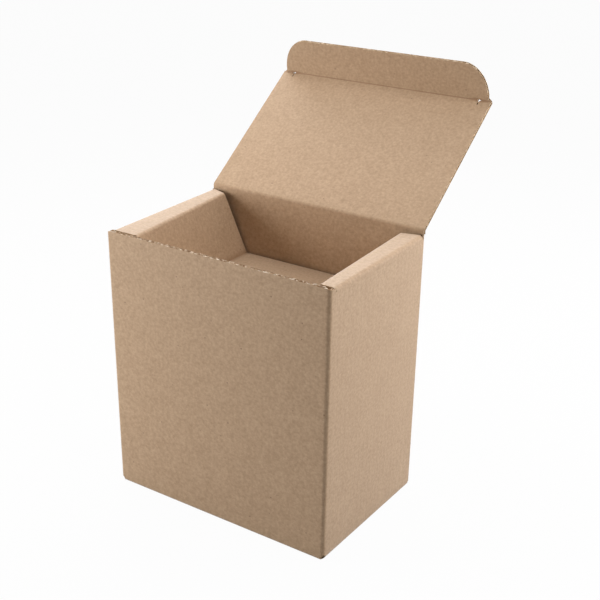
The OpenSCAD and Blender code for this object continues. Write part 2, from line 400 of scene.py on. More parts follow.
def perimeter():
    # the tube's mid-line seen from above, from the back left corner round to the glue lap
    lapX = board["thickness"] - wallX
    seam = halfDepth - board["creaseRadius"]
    lapEnd = wallY - foldRadius - bottom["lap"]
    sideStops = [
        box["wingFront"], box["wingFront"] - box["slit"], box["wingBack"], box["wingBack"] + box["slit"],
        sideFlapHalf, -sideFlapHalf,
    ]
    tongueEnd = bottom["tongueHalf"]
    legEnd = bottom["tongueHalf"] + bottom["tongueGap"]
    frontStops = [-wideFlapHalf, -tongueEnd, tongueEnd, wideFlapHalf]
    backStops = [-wideFlapHalf, -legEnd, legEnd, wideFlapHalf]
    corners = [
        (-wallX, seam), (-wallX, -wallY), (wallX, -wallY), (wallX, wallY), (lapX, wallY), (lapX, lapEnd),
    ]
    parts = [
        fractionsOf(sideStops, seam, midRadius - wallY),
        fractionsOf(frontStops, midRadius - wallX, wallX - midRadius),
        fractionsOf(sideStops, midRadius - wallY, wallY - midRadius),
        fractionsOf(backStops, wallX - midRadius, lapX + midRadius),
        fractionsOf([], wallY - midRadius, lapEnd),
    ]
    points, normals, marks = foldedPath(corners, parts)
    normals = np.column_stack([normals, np.zeros(len(normals))])
    return {"points": points, "normals": normals, "run": runLength(points), "marks": marks}


def addTube(sheet, ring):
    lapLow = foot + bottom["lapFoot"]
    lapHigh = spineTop - foldRadius - bottom["lapTop"]
    heights = np.append(spaced([foot, lapLow, lapHigh, bendStart], board["spacing"]), box["cutEdge"])
    rows, columns = len(heights), len(ring["points"])
    points = np.zeros((rows, columns, 3))
    points[:, :, :2] = ring["points"]
    points[:, :, 2] = heights[:, None]
    lapStart = ring["marks"][4][0]
    for c in range(lapStart):
        x, y = ring["points"][c]
        onSide = sideShare(x)
        drop = box["frontCornerDrop"] if y < 0 else box["backCornerDrop"]
        points[-1, c, 2] -= onSide * drop
        points[-2, c, 2] += onSide * spineRise(y)
        if y < -wallY + touch:
            run = ring["run"][c]                       # two waves, 2.7 and 7 mm long
            points[-1, c, 2] += (1 - onSide) * box["ragged"] * math.sin(2.3 * run) * math.sin(0.9 * run + 1)
    keep = np.ones((rows - 1, columns - 1), bool)
    for first, last in (ring["marks"][0], ring["marks"][2]):
        for c in range(first, last):
            middle = (ring["points"][c][1] + ring["points"][c + 1][1]) / 2
            if box["wingFront"] - box["slit"] < middle < box["wingBack"] + box["slit"]:
                keep[-1, c] = False
    lapRows = (heights > lapLow - touch) & (heights < lapHigh + touch)
    keep[:, lapStart:] = (lapRows[:-1] & lapRows[1:])[:, None]
    for c in range(lapStart, columns):
        share = (c - lapStart) / (columns - 1 - lapStart)
        slope = bottom["lapSlope"] * share
        scaled = (heights - lapLow) / (lapHigh - lapLow)
        points[:, c, 2] = lapLow + slope + scaled * (lapHigh - lapLow - 2 * slope)
    addPatch(sheet, points, ring["normals"], ring["run"], points[:, :, 2], keep)


def wingShare(y):
    # 0 at the wings' front ends, 1 at their back ends
    return (y - box["wingFront"]) / (box["wingBack"] - box["wingFront"])


def spineRise(y):
    # how far the spines have climbed on their way to the back
    return box["backRise"] * np.clip(wingShare(y), 0, 1)


def slotEdge(z):
    # the wings' front edges lean back with the tucked-in flap
    lean = math.radians(box["tuckLean"])
    spineUnder = spineTop - board["thickness"]
    return box["wingFront"] + (spineUnder - z) * math.tan(lean)


def addWing(sheet, ring, part, side, frontWidth, backWidth, drop):
    # the first corner of each profile only gives the wall's direction
    low, high = box["wingFront"] - touch, box["wingBack"] + touch
    first, last = ring["marks"][part]
    columns = [c for c in range(first, last + 1) if low <= ring["points"][c][1] <= high]
    platformMid = platformTop - half - drop
    lean = (halfWidth - (frontWidth + backWidth) / 2 - box["slopeFoot"]) / box["trayDepth"]
    lowX = box["slopeFoot"] - lean * drop      # drop is how far this wing's platform lies under the other's
    parts = [[1.0], np.linspace(0, 1, 5), np.linspace(0, 1, 13), np.linspace(0, 1, 33)]    # wall to platform
    strips, insides, runs = [], [], []
    for c in columns:
        y = ring["points"][c][1]
        back = wingShare(y)
        topX = halfWidth - frontWidth - (backWidth - frontWidth) * back
        spineMid = spineTop - half + spineRise(y)
        corners = [
            (wallX, bendStart - 1), (wallX, spineMid), (topX, spineMid),
            (lowX, platformMid), (-box["platformEnd"], platformMid),
        ]
        path, lefts, marks = foldedPath(corners, parts)
        column = upright(path, 0, side)
        rows = np.arange(len(path))
        front = np.full(len(path), box["wingFront"])
        onSlope = (rows >= marks[2][0]) & (rows <= marks[2][1])
        front[onSlope] = slotEdge(column[onSlope, 2])
        onSpine = (rows >= marks[1][0]) & (rows <= marks[1][1])
        front[onSpine] = box["spineFront"]
        stops = [0, marks[1][0], marks[1][1], marks[2][0], marks[2][1]]
        inner = box["spineBackInner"]
        backs = [box["wingBack"], box["spineBackOuter"], inner, inner, box["wingBack"]]
        column[:, 1] = front + back * (np.interp(rows, stops, backs) - front)
        strips.append(column)
        insides.append(upright(lefts, 0, side))
        runs.append(bendStart + runLength(path))
    points, normals, along = [np.stack(rows, axis=1) for rows in (strips, insides, runs)]
    addPatch(sheet, points, normals, ring["run"][columns], along)


def addBottomFlap(sheet, ring, part, axis, side, corners, parts, shape):
    # shape moves a row's points along the wall and says which cells the flap has
    # the last corner only gives the wall's direction
    path, lefts, marks = foldedPath(corners, parts + [[0.0]])
    first, last = ring["marks"][part]
    columns = list(range(first, last + 1))
    along = 1 - axis
    points = np.repeat(upright(path, axis, side)[:, None], len(columns), axis=1)
    points[:, :, along] = ring["points"][columns][:, along]
    normals = upright(lefts, axis, side)[:, None]
    middles = (points[:-1, :-1, along] + points[:-1, 1:, along]) / 2
    keep = shape(points, path, marks, middles)
    keep[marks[-2][1]:] = True             # the creases run on to the corners
    reach = runLength(path) - runLength(path)[-1] + foot
    addPatch(sheet, points, normals, ring["run"][columns], reach[:, None], keep)


def addBottom(sheet, ring):
    climb = bottom["climb"]
    legX = bottom["tongueHalf"] + bottom["tongueGap"]
    notch = bottom["frontReach"] + climb + bottom["tongueGap"]     # the back flap is cut out up to here

    def sideShape(points, path, marks, middles):
        taperStart = wallX - climb
        share = np.clip((taperStart - path[:, 0]) / (taperStart - legX), 0, 1)
        narrowed = 1 + (bottom["sideEnd"] / (2 * sideFlapHalf) - 1) * share
        points[:, :, 1] = -sideFlapHalf + (points[:, :, 1] + sideFlapHalf) * narrowed[:, None]
        return abs(middles) < sideFlapHalf

    def frontShape(points, path, marks, middles):
        keep = abs(middles) < wideFlapHalf
        keep[:marks[2][0]] &= abs(middles[:marks[2][0]]) < bottom["tongueHalf"]
        return keep

    def backShape(points, path, marks, middles):
        keep = abs(middles) < wideFlapHalf
        deep = path[1:, 0] < notch + touch
        keep &= ~(deep[:, None] & (abs(middles) < legX))
        return keep

    step = wallX - foldRadius
    sideCorners = [
        (legX, half + layer), (step - climb, half + layer), (step, half), (wallX, half), (wallX, foot + 1),
    ]
    sideParts = [np.linspace(0, 1, 10), np.linspace(0, 1, 5), [0.0, 1.0]]
    for part, side in ((0, -1), (2, 1)):
        addBottomFlap(sheet, ring, part, 0, side, sideCorners, sideParts, sideShape)
    tongueEnd = -bottom["frontReach"] - bottom["tongue"]
    top = half + 3 * layer
    frontCorners = [
        (tongueEnd, top), (-bottom["frontReach"] - climb, top), (-bottom["frontReach"], half),
        (wallY, half), (wallY, foot + 1),
    ]
    frontParts = [np.linspace(0, 1, 7), np.linspace(0, 1, 5), np.linspace(0, 1, 18)]
    addBottomFlap(sheet, ring, 1, 1, -1, frontCorners, frontParts, frontShape)
    step = wallY - foldRadius
    shelf = step - climb
    notchShare = (notch + bottom["legReach"]) / (shelf + bottom["legReach"])
    backCorners = [
        (-bottom["legReach"], half + 2 * layer), (shelf, half + 2 * layer), (step, half), (wallY, half),
        (wallY, foot + 1),
    ]
    backParts = [
        np.append(np.linspace(0, notchShare, 11), np.linspace(notchShare, 1, 7)[1:]),
        np.linspace(0, 1, 5), [0.0, 1.0],
    ]
    addBottomFlap(sheet, ring, 3, 1, 1, backCorners, backParts, backShape)


def boxSheet():
    sheet = newSheet()
    ring = perimeter()
    addTube(sheet, ring)
    addWing(sheet, ring, 0, -1, box["frontSpineLeft"], box["backSpineLeft"], 0.0)
    addWing(sheet, ring, 2, 1, box["frontSpineRight"], box["backSpineRight"], layer)
    addBottom(sheet, ring)

    def atHinge(p):
        onTop = p[2] > box["cutEdge"] - touch
        return onTop and p[1] > wallY - touch and abs(p[0]) < wallX - midRadius + touch

    def atFootCorner(p):
        beyond = abs(p[0]) > wideFlapHalf + touch or abs(p[1]) > sideFlapHalf + touch
        return p[2] < foot + touch and beyond

    markWhere(sheet, "joined", atHinge)
    markWhere(sheet, "shallow", atFootCorner)
    sheet["points"] = list(handFolded(sheet["points"]))
    return sheet


# The lid and the tuck flap, drawn along the lid's own directions

lidSheet = {
    "inset": 0.2,              # the lid is this much narrower than the box on each side
    "creaseStart": 1.8,        # the panel ends this far from the hinge's axis
    "blendStart": 0.2,         # the hinge's strip bends from this far above the cut edge
    "blendEnd": 1.7,           # to this far from the axis
    "bend": 65.0,              # degrees, of the tuck flap at rest
    "bendMax": 100.0,          # and tucked in
    "slitLength": 6.5,         # the crease lock: a slit in the crease from the lid's side to
    "hole": 1.6,               # a round hole, with
    "nick": 3.0,               # a nick from the hole into the lid
    "nickWidth": 0.5,
}
tuckFlap = {
    "inset": 2.0,              # it is this much narrower than the box on each side
    "length": 19.0,
    "cornerWide": 13.0,        # the corners are quarter ellipses
    "cornerHigh": 16.0,
    "slit": 0.12,              # width of the crease lock's slits
    "blendReach": 1.9,         # its crease's strip bends this far to both sides
}
mitre = board["thickness"] * math.tan(math.radians(lidSheet["bendMax"] / 2))   # bevel that a full bend needs
tuckReach = lidSheet["inset"] + mitre                  # the flap's crease is a strip of this half width
flapCorner = halfWidth - tuckFlap["inset"] - tuckFlap["cornerWide"]


def lidPoint(x, along, out):
    return lidAxis + np.array([x, 0, 0]) + lidAlong * along + lidInward * out


def tuckDirections(bend):
    c, s = math.cos(math.radians(bend)), math.sin(math.radians(bend))
    return lidAlong * c + lidInward * s, lidInward * c - lidAlong * s


def lidPanel():
    sheet = newSheet()
    wide = halfWidth - lidSheet["inset"]
    end = lidLength - lidSheet["inset"] - mitre
    holeX = wide - lidSheet["slitLength"]
    nickLow = lidLength - lidSheet["hole"] / 2 - lidSheet["nick"]
    nickHalf = lidSheet["nickWidth"] / 2
    stops = [holeX - nickHalf, holeX + nickHalf, wide]
    xs = spaced(stops + [-x for x in stops], board["spacing"])[::-1]
    runs = spaced([lidSheet["creaseStart"], nickLow, end], board["spacing"])
    points = np.array([[lidPoint(x, run, half) for x in xs] for run in runs])
    middleX = (xs[:-1] + xs[1:]) / 2
    middleRun = (runs[:-1] + runs[1:]) / 2
    nick = (abs(abs(middleX) - holeX) < nickHalf)[None, :] & (middleRun > nickLow)[:, None]
    addPatch(sheet, points, lidInward, -xs, runs[:, None], ~nick)
    markWhere(sheet, "joined", lambda p: (p - lidAxis) @ lidAlong < runs[0] + touch)
    markWhere(sheet, "joined", lambda p: (p - lidAxis) @ lidAlong > end - touch)
    return sheet


def flapEnd(x):
    over = min(max(abs(x) - flapCorner, 0.0) / tuckFlap["cornerWide"], 1.0)
    return tuckFlap["length"] - tuckFlap["cornerHigh"] * (1 - math.sqrt(1 - over ** 2))


def flapColumns():
    angles = np.radians(np.linspace(0, 90, 19)[1:])
    arc = flapCorner + tuckFlap["cornerWide"] * np.sin(angles)
    return np.concatenate([-arc[::-1], spaced([-flapCorner, flapCorner], board["spacing"]), arc])[::-1]


def flapPanel():
    sheet = newSheet()
    direction, inside = tuckDirections(lidSheet["bend"])
    xs = flapColumns()
    shares = np.linspace(0, 1, 10)
    along = np.array([[tuckReach + (flapEnd(x) - tuckReach) * s for x in xs] for s in shares])
    points = flapAxis + direction * along[..., None] + inside * half
    points[..., 0] += xs
    addPatch(sheet, points, inside, -xs, along)
    markWhere(sheet, "joined", lambda p: (p - flapAxis) @ direction < tuckReach + touch)
    return sheet


# The two creases that move: strips of the same board, built bent as they are at rest

def lidCrease():
    sheet = newSheet()
    wallLine = lidAxis[1] - half
    meet = (wallLine - lidAxis[1] - half * lidInward[1]) / lidAlong[1]
    corner = lidPoint(0, meet, half)
    end = lidPoint(0, lidSheet["creaseStart"], half)
    corners = [(-wallLine, box["cutEdge"]), (-corner[1], corner[2]), (-end[1], end[2])]
    path, lefts = foldedPath(corners, [[0.0, 0.5, 1.0], [0.0, 0.5, 1.0]])[:2]
    reach = wallX - midRadius
    wide = halfWidth - lidSheet["inset"]
    xs = spaced([-wide, -reach, reach, wide], board["spacing"])[::-1]
    points = np.repeat(upright(path, 1, -1)[:, None], len(xs), axis=1)
    points[..., 0] = xs
    addPatch(sheet, points, -upright(lefts, 1, -1)[:, None], -xs, runLength(path)[:, None])
    low, high = points[0, 0], points[-1, 0]
    markWhere(sheet, "joined", lambda p: np.linalg.norm((p - low)[1:]) < touch and abs(p[0]) < reach + touch)
    markWhere(sheet, "joined", lambda p: np.linalg.norm((p - high)[1:]) < touch)
    markWhere(sheet, "shallow", lambda p: True)
    sheet["crushAndShade"] = 0.3                 # the open lid has drawn this crease flat, so it gets less of the crushed darkening and painted shade
    return sheet


def tuckCrease():
    # laid out flat by x and by u, the distance from the crease's middle, then bent round it
    sheet = newSheet()
    bend = math.radians(lidSheet["bend"])
    direction = np.array([math.cos(bend), math.sin(bend)])
    start = np.array([-tuckReach, half])
    corner = np.array([-half * math.tan(bend / 2), half])
    end = direction * tuckReach + leftOf(direction) * half
    path, lefts = foldedPath([start, corner, end], [[0.0, 1.0], [0.0, 1.0]])[:2]
    run = runLength(path)
    run -= run[-1] / 2
    wide = halfWidth - lidSheet["inset"]
    flapWide = halfWidth - tuckFlap["inset"]
    holeX = wide - lidSheet["slitLength"]
    radius = lidSheet["hole"] / 2
    nickHalf = lidSheet["nickWidth"] / 2
    slitHalf = tuckFlap["slit"] / 2
    stops = [wide, holeX + radius, holeX + nickHalf, holeX - nickHalf, holeX - radius]
    xs = spaced(stops + [-x for x in stops], board["spacing"])[::-1]
    us = np.unique(np.round(np.concatenate([run, [-radius, radius, -slitHalf, slitHalf]]), 4))
    us = us[np.concatenate([[True], np.diff(us) > 0.03])]              # rows that all but meet are dropped
    gridX, gridU = np.meshgrid(xs, us)
    off = np.abs(gridX) - holeX
    square = np.maximum(abs(off), abs(gridU))
    onRim = abs(square - radius) < touch                               # the hole's square rim is drawn round
    shrink = np.where(onRim, radius / np.maximum(np.hypot(off, gridU), 1e-6), 1.0)
    roundX = np.sign(gridX) * (holeX + off * shrink)
    roundU = gridU * shrink
    edge = holeX + radius
    beyond = np.abs(roundX) > edge + touch
    flare = wide - (wide - flapWide) * np.clip(gridU / run[-1], 0, 1)
    narrowed = edge + (np.abs(roundX) - edge) * (flare - edge) / (wide - edge)
    roundX = np.where(beyond, np.sign(roundX) * narrowed, roundX)
    a = np.interp(roundU, run, path[:, 0])
    b = np.interp(roundU, run, path[:, 1])
    na = np.interp(roundU, run, lefts[:, 0])
    nb = np.interp(roundU, run, lefts[:, 1])
    size = np.hypot(na, nb)
    points = flapAxis + lidAlong * a[..., None] + lidInward * b[..., None]
    points[..., 0] = roundX
    normals = lidAlong * (na / size)[..., None] + lidInward * (nb / size)[..., None]
    middleX = np.abs(gridX[:-1, :-1] + gridX[1:, 1:]) / 2
    middleU = (gridU[:-1, :-1] + gridU[1:, 1:]) / 2
    hole = (abs(middleX - holeX) < radius) & (abs(middleU) < radius)
    slit = (middleX > holeX) & (abs(middleU) < slitHalf)
    nick = (abs(middleX - holeX) < nickHalf) & (middleU < 0)
    addPatch(sheet, points, normals, -roundX, roundU + tuckReach, ~(hole | slit | nick))
    markWhere(sheet, "shallow", lambda p: True)
    ends = [points[0, 0], points[-1, 0]]
    markWhere(sheet, "joined", lambda p: min(np.linalg.norm((p - q)[1:]) for q in ends) < touch)
    return sheet


# Finishes

def linear(hexColour):
    # sRGB hex to the linear values that nodes take
    channels = [int(hexColour[k:k + 2], 16) / 255 for k in (1, 3, 5)]
    return tuple([c / 12.92 if c <= 0.04045 else ((c + 0.055) / 1.055) ** 2.4 for c in channels] + [1.0])


def addNode(tree, kind, settings=None, links=None):
    # settings are properties by name, or socket values by index or name
    # links are other nodes' outputs, or a node for its first output, also by the socket's index or name
    node = tree.nodes.new(kind)
    for key, value in (settings or {}).items():
        if isinstance(key, str) and hasattr(node, key):
            setattr(node, key, value)
        else:
            node.inputs[key].default_value = value
    for key, source in (links or {}).items():
        tree.links.new(getattr(source, "outputs", [source])[0], node.inputs[key])
    return node


kraft = {
    "liner": "#C1A384",        # unbleached kraft liner
    "linerDark": "#9D7F60",
    "crushAndShade": "#86603E",      # the inside of a bend: darker where the crease crushed the fibres, and painted shade in the bend's hollow
    "crushAndShadeMost": 0.6,
    "roughness": 0.66,
    "gloss": 0.36,             # uncoated paper mirrors less than plastic's 0.5
    "sheen": 0.5,              # loose fibres catch the light at flat angles
    "sheenRoughness": 0.4,
    "mottleSize": 8.0,         # mm
    "grainSize": 1.3,          # real fibres are finer; drawn coarser, because so fine a grain would blur away
    "streakWide": 3.0,         # fibres lie across the flutes
    "streakHigh": 0.5,
    "specks": (                # bark and pale fibres: colour, the draws where they begin and are strongest,
        ("#6F523A", 0.68, 0.98, 1.0),      # and how much they then cover
        ("#D2BDA4", 0.88, 0.92, 0.3),
    ),
    "speckCell": 3.9,          # mm; a cell has one speck at the most
    "speckCore": 0.05,         # its size, as a share of the cell
    "speckRim": 0.11,
    "fluteTone": 0.006,        # the flutes show through as a faint washboard, in tone
    "fluteHeight": 0.008,      # and in height, mm
    "grainHeight": 0.05,
    "streakHeight": 0.03,
}


def newMaterial(name):
    material = bpy.data.materials.new(name)
    material.use_nodes = True
    material.node_tree.nodes.clear()
    return material


def addSurface(tree, colour, height, settings):
    bump = addNode(tree, "ShaderNodeBump", {"Strength": 1.0, "Distance": 1.0}, {"Height": height})
    shader = addNode(tree, "ShaderNodeBsdfPrincipled", settings, {"Base Color": colour, "Normal": bump})
    addNode(tree, "ShaderNodeOutputMaterial", links={"Surface": shader})


def kraftLiner(name):
    # kraft linerboard: matt brown paper, cloudy and fibrous, with a faint washboard from the flutes below
    material = newMaterial(name)
    tree = material.node_tree
    add = partial(addNode, tree)
    sheetAt = add("ShaderNodeAttribute", {"attribute_name": "board"}).outputs["Vector"]
    parts = add("ShaderNodeSeparateXYZ", links={0: sheetAt})
    metres = add("ShaderNodeTexCoord").outputs["Object"]
    fibreScale = (1 / kraft["streakWide"], 1 / kraft["streakHigh"], 0.0)
    alongFibres = add("ShaderNodeMapping", {"vector_type": "POINT", "Scale": fibreScale}, {"Vector": sheetAt})

    # clouds in the pulp, grain and fibre streaks: vector, scale, detail, roughness, and share of the shade
    layers = {
        "cloud": (metres, 1 / (kraft["mottleSize"] * mm), 3.0, 0.55, 0.14),
        "grain": (metres, 1 / (kraft["grainSize"] * mm), 4.0, 0.6, 0.62),
        "streaks": (alongFibres, 1.0, 4.0, 0.65, 0.24),
    }
    noises = {}
    shade = None
    for key, (vector, scale, detail, roughness, weight) in layers.items():
        settings = {"noise_dimensions": "3D", "Scale": scale, "Detail": detail, "Roughness": roughness}
        noises[key] = add("ShaderNodeTexNoise", settings, {"Vector": vector})
        settings = {"From Min": 0.3, "From Max": 0.7, "To Max": weight}
        part = add("ShaderNodeMapRange", settings, {"Value": noises[key]})
        links = {0: part, 1: shade} if shade else {0: part}
        shade = add("ShaderNodeMath", {"operation": "ADD", 1: 0.0}, links)
    settings = {"data_type": "RGBA", 6: linear(kraft["linerDark"]), 7: linear(kraft["liner"])}
    paper = add("ShaderNodeMix", settings, {0: shade}).outputs[2]

    # specks: one near the middle of some of the cells
    cells = add("ShaderNodeTexVoronoi", {"Scale": 1 / (kraft["speckCell"] * mm)}, {"Vector": metres})
    draws = add("ShaderNodeSeparateColor", links={0: cells.outputs["Color"]})
    settings = {"From Min": kraft["speckCore"], "From Max": kraft["speckRim"], "To Min": 1.0, "To Max": 0.0}
    spot = add("ShaderNodeMapRange", settings, {"Value": cells.outputs["Distance"]})
    for draw, (colour, low, high, most) in enumerate(kraft["specks"]):
        settings = {"From Min": low, "From Max": high, "To Max": most}
        chosen = add("ShaderNodeMapRange", settings, {"Value": draws.outputs[draw]})
        share = add("ShaderNodeMath", {"operation": "MULTIPLY"}, {0: spot, 1: chosen})
        settings = {"data_type": "RGBA", 7: linear(colour)}
        paper = add("ShaderNodeMix", settings, {0: share, 6: paper}).outputs[2]

    # the flutes' washboard, and the inside of a bend, darkened for crushed fibres and with painted shade in
    # the bend's hollow
    settings = {"operation": "MULTIPLY", 1: 2 * math.pi / board["pitch"]}
    wave = add("ShaderNodeMath", settings, {0: parts.outputs[0]})
    wave = add("ShaderNodeMath", {"operation": "COSINE"}, {0: wave})
    washboard = add("ShaderNodeMath", {"operation": "MULTIPLY_ADD", 1: kraft["fluteTone"], 2: 1.0}, {0: wave})
    toned = add("ShaderNodeVectorMath", {"operation": "SCALE"}, {0: paper, 3: washboard})
    # painted shade, with the crushed fibres' darkening, on a bend's inner side, following the fold's sign
    settings = {"From Min": -1.0, "From Max": 0.0, "To Min": kraft["crushAndShadeMost"], "To Max": 0.0}
    crushAndShade = add("ShaderNodeMapRange", settings, {"Value": parts.outputs[2]})
    settings = {"data_type": "RGBA", 7: linear(kraft["crushAndShade"])}
    toned = add("ShaderNodeMix", settings, {0: crushAndShade, 6: toned}).outputs[2]

    # relief
    height = add("ShaderNodeMath", {"operation": "MULTIPLY", 1: kraft["fluteHeight"] * mm}, {0: wave})
    for key, rise in (("grain", "grainHeight"), ("streaks", "streakHeight")):
        settings = {"operation": "MULTIPLY_ADD", 1: kraft[rise] * mm}
        height = add("ShaderNodeMath", settings, {0: noises[key], 2: height})
    addSurface(tree, toned, height, {
        "Roughness": kraft["roughness"], "Specular IOR Level": kraft["gloss"],
        "Sheen Weight": kraft["sheen"], "Sheen Roughness": kraft["sheenRoughness"],
    })
    return material


cut = {
    "grooveShade": "#8A6A4C",         # painted shade of the flutes' grooves, which noise scatters in patches over the cut fibres and the medium
    "middle": "#B3977A",
    "light": "#E6D5C0",
    "along": "#BFA585",        # a cut along the flutes, nearly as even as the liner
    "alongMost": 0.7,
    "frayLength": 1.7,         # mm, of the torn and the cleanly cut stretches of an edge
    "fibreSize": 0.6,
    "fibreHeight": 0.1,
    "roughness": 0.95,
    "gloss": 0.2,
}


def kraftEdge(name, evenness):
    # cut corrugated board: soft torn fibres without the liner's calendered skin
    material = newMaterial(name)
    tree = material.node_tree
    add = partial(addNode, tree)
    metres = add("ShaderNodeTexCoord").outputs["Object"]
    settings = {"Scale": 1 / (cut["frayLength"] * mm), "Detail": 2.0, "Roughness": 0.6}
    frayed = add("ShaderNodeTexNoise", settings, {"Vector": metres})
    colour = add("ShaderNodeValToRGB", links={0: frayed})
    ramp = colour.color_ramp.elements
    # the darkest stop is painted groove shade, laid at random by the noise
    for position, key in ((0.4, "grooveShade"), (0.45, "middle"), (0.54, "middle"), (0.6, "light")):
        ramp.new(position).color = linear(cut[key])
    ramp.remove(ramp[0])                       # the ramp's own two stops
    ramp.remove(ramp[-1])
    sheetAt = add("ShaderNodeAttribute", {"attribute_name": "board"}).outputs["Vector"]
    smooth = add("ShaderNodeSeparateXYZ", links={0: sheetAt}).outputs[2]
    settings = {"operation": "MULTIPLY_ADD", 1: cut["alongMost"] - evenness, 2: evenness}
    evened = add("ShaderNodeMath", settings, {0: smooth})
    settings = {"data_type": "RGBA", 7: linear(cut["along"])}
    toned = add("ShaderNodeMix", settings, {0: evened, 6: colour}).outputs[2]
    settings = {"Scale": 1 / (cut["fibreSize"] * mm), "Detail": 4.0, "Roughness": 0.7}
    fibres = add("ShaderNodeTexNoise", settings, {"Vector": metres})
    height = add("ShaderNodeMath", {"operation": "MULTIPLY", 1: cut["fibreHeight"] * mm}, {0: fibres})
    addSurface(tree, toned, height, {"Roughness": cut["roughness"], "Specular IOR Level": cut["gloss"]})
    return material


# The wavy medium between the liners, drawn by Geometry Nodes along every edge that is cut across the flutes

medium = {
    "thickness": 0.3,
    "depth": 4.0,              # it runs this far into the board
    "step": 0.28,              # between two points of the wave
    "setBack": -0.05,          # it stands a little proud of the liners' edges
    "open": 0.7,               # an edge shows it where the cut runs across the flutes by at least this share
    "weld": 0.002,
    "sharpAngle": 50.0,        # degrees
}


def mediumTree(finish):
    tree = bpy.data.node_groups.new("flutedMedium", "GeometryNodeTree")
    for way in ("INPUT", "OUTPUT"):
        tree.interface.new_socket("Geometry", in_out=way, socket_type="NodeSocketGeometry")
    add = partial(addNode, tree)
    stored = {}
    for name, kind in (("across", "FLOAT"), ("boardNormal", "FLOAT_VECTOR"), ("flute", "FLOAT_VECTOR")):
        settings = {"data_type": kind, 0: name}
        stored[name] = add("GeometryNodeInputNamedAttribute", settings).outputs["Attribute"]
    guide = add("NodeGroupInput")
    lines = add("GeometryNodeMeshToCurve", links={"Mesh": guide})
    settings = {"mode": "LENGTH", "Length": medium["step"] * mm}
    points = add("GeometryNodeResampleCurve", settings, {"Curve": lines})
    settings = {"operation": "MULTIPLY", 1: 2 * math.pi / (board["pitch"] * mm)}
    angle = add("ShaderNodeMath", settings, {0: stored["across"]})
    wave = add("ShaderNodeMath", {"operation": "COSINE"}, {0: angle})
    swing = half - board["liner"] - medium["thickness"] / 2
    settings = {"operation": "MULTIPLY_ADD", 1: swing * mm, 2: -medium["thickness"] / 2 * mm}
    lower = add("ShaderNodeMath", settings, {0: wave})
    offset = add("ShaderNodeVectorMath", {"operation": "SCALE"}, {0: stored["boardNormal"], 3: lower})
    waved = add("GeometryNodeSetPosition", links={"Geometry": points, "Offset": offset})
    wire = add("GeometryNodeCurveToMesh", links={"Curve": waved})
    settings = {"mode": "EDGES", "Offset Scale": medium["depth"] * mm}
    ribbon = add("GeometryNodeExtrudeMesh", settings, {"Mesh": wire, "Offset": stored["flute"]})
    settings = {"mode": "FACES", "Individual": False, "Offset Scale": medium["thickness"] * mm}
    thick = add("GeometryNodeExtrudeMesh", settings, {"Mesh": ribbon, "Offset": stored["boardNormal"]})
    back = add("GeometryNodeFlipFaces", links={"Mesh": ribbon})
    both = add("GeometryNodeJoinGeometry", links={0: thick})
    tree.links.new(back.outputs[0], both.inputs[0])
    closed = add("GeometryNodeMergeByDistance", {"Distance": medium["weld"] * mm}, {"Geometry": both})
    real = add("GeometryNodeRealizeInstances", links={"Geometry": closed})
    finished = add("GeometryNodeSetMaterial", {"Material": finish}, {"Geometry": real})
    add("NodeGroupOutput", links={0: finished})
    return tree


def cutGuide(name, sheet):
    # lines along the deep cuts, each point with its board normal, flute direction and place on the sheet
    points = np.array(sheet["points"])
    normals = np.array(sheet["normals"])
    boardAt = np.array(sheet["board"])
    lines, used, places, flutes = [], {}, [], []
    for a, b in sorted(cutEdges(sheet)):
        into, flute, share = cutDirections(points, normals, boardAt, a, b)
        closed = sheet["joined"].issuperset((a, b)) or not sheet["shallow"].isdisjoint((a, b))
        if closed or share < medium["open"]:
            continue
        for v in (a, b):
            if v not in used:
                used[v] = len(places)
                places.append(points[v] + into * medium["setBack"])
                flutes.append(np.zeros(3))
            flutes[used[v]] = flutes[used[v]] + flute
        lines.append((used[a], used[b]))
    mesh = bpy.data.meshes.new(name)
    mesh.from_pydata((np.array(places) * mm).tolist(), lines, [])
    ids = list(used)
    vectors = {"boardNormal": normals[ids], "flute": np.array([unit(flute) for flute in flutes])}
    for key, values in vectors.items():
        attribute = mesh.attributes.new(key, "FLOAT_VECTOR", "POINT")
        attribute.data.foreach_set("vector", values.astype(np.float32).ravel())
    attribute = mesh.attributes.new("across", "FLOAT", "POINT")
    attribute.data.foreach_set("value", (boardAt[ids, 0] * mm).astype(np.float32))
    guide = bpy.data.objects.new(name, mesh)
    bpy.context.scene.collection.objects.link(guide)
    return guide


def mediumPiece(name, sheet, finish):
    guide = cutGuide(name + "_guide", sheet)
    guide.modifiers.new("medium", "NODES").node_group = mediumTree(finish)
    bpy.context.view_layer.update()
    evaluated = guide.evaluated_get(bpy.context.evaluated_depsgraph_get())
    mesh = bpy.data.meshes.new_from_object(evaluated)
    mesh.name = name
    guide.modifiers.clear()
    bpy.data.objects.remove(guide)
    work = bmesh.new()
    work.from_mesh(mesh)
    bmesh.ops.recalc_face_normals(work, faces=work.faces)
    work.to_mesh(mesh)
    work.free()
    mesh.polygons.foreach_set("use_smooth", [True] * len(mesh.polygons))
    mesh.set_sharp_from_angle(angle=math.radians(medium["sharpAngle"]))
    piece = bpy.data.objects.new(name, mesh)
    bpy.context.scene.collection.objects.link(piece)
    print(name, len(mesh.polygons), "faces")
    return piece


# Camera, floor and light

